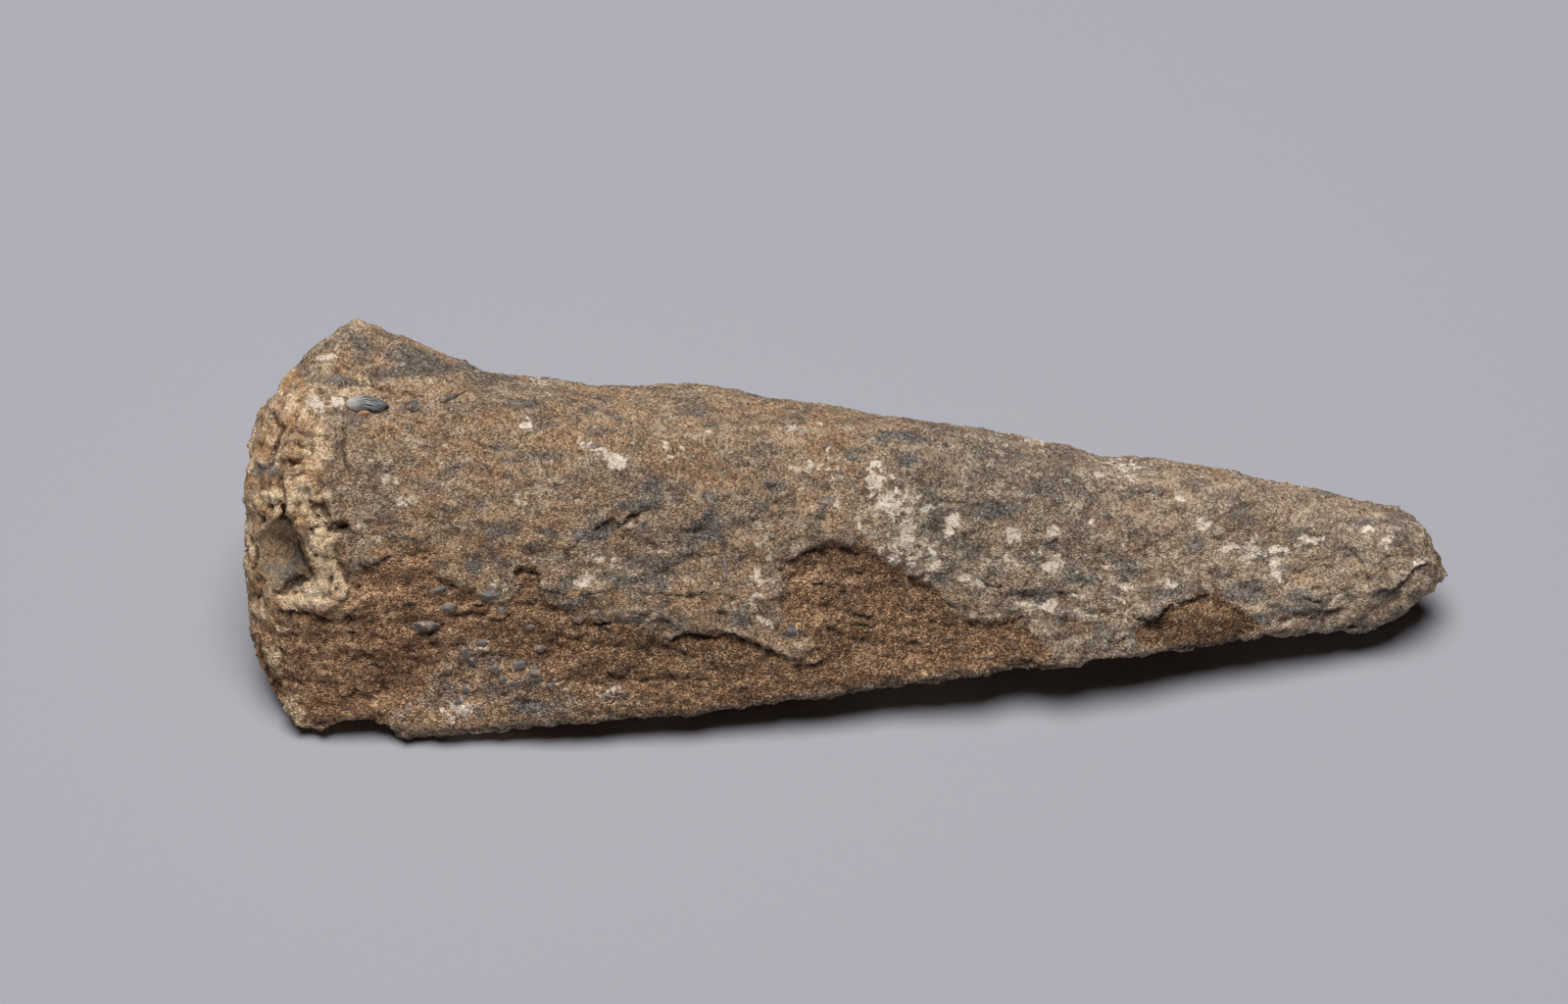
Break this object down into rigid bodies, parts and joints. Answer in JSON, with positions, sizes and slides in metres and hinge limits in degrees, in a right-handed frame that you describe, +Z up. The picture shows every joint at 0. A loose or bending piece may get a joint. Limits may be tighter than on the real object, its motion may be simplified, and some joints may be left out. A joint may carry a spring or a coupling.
{
  "type": "dinosaur tooth fossil",
  "caption": "A long, tapering fossil tooth with its root, in rough sandy stone, lying on its side with a broken, hollow root end.",
  "frame": {"origin": "on the surface it lies on, under the middle of its bounding box", "axes": "+X runs along the stone from the broken root end to the tip, +Z is up, and -Y is the worn side that faces the viewer"},
  "size_m": [0.15, 0.047, 0.0362],
  "materials": {
    "stone": "rough, granular, grey-brown sandy stone with pale grains"
  },
  "bodies": {
    "root": {"tooth_fossil": "stone"}
  },
  "joints": []
}
